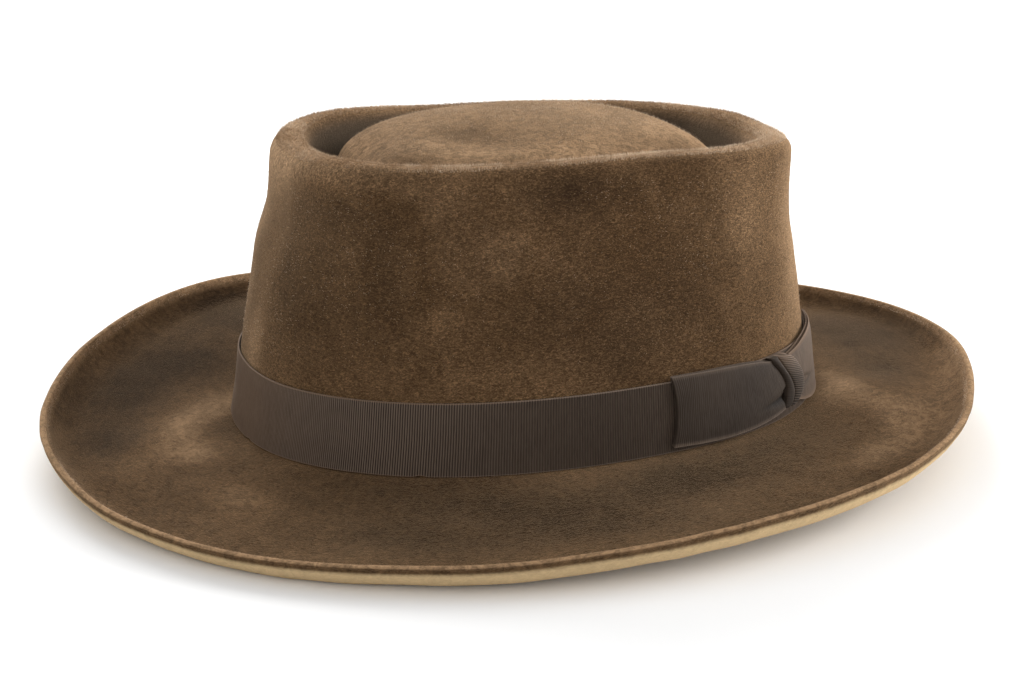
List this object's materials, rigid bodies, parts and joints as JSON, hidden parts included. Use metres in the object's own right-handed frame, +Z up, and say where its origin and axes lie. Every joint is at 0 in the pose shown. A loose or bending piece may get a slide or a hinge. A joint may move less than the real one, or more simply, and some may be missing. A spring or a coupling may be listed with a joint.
{
  "type": "gambler hat",
  "caption": "Brown velour felt hat with a flat-topped telescope crown, a wide rolled brim and a grosgrain ribbon with a flat side bow.",
  "frame": {"origin": "middle of the hat's box seen from above, on the surface that the brim rests on", "axes": "+Z up; the wearer looks along -Y, and the wearer's left, where the bow is, is +X"},
  "size_m": [0.2986, 0.3272, 0.1047],
  "materials": {
    "velour_felt": "dense brushed velour fur felt, brown, with a soft lit nap",
    "grosgrain_ribbon": "dark brown grosgrain with fine upright ribs and plain selvedges"
  },
  "bodies": {
    "root": {"felt_body": "velour_felt", "ribbon_band": "grosgrain_ribbon", "bow_front_loop": "grosgrain_ribbon", "bow_knot": "grosgrain_ribbon", "bow_back_loop": "grosgrain_ribbon"}
  },
  "joints": []
}
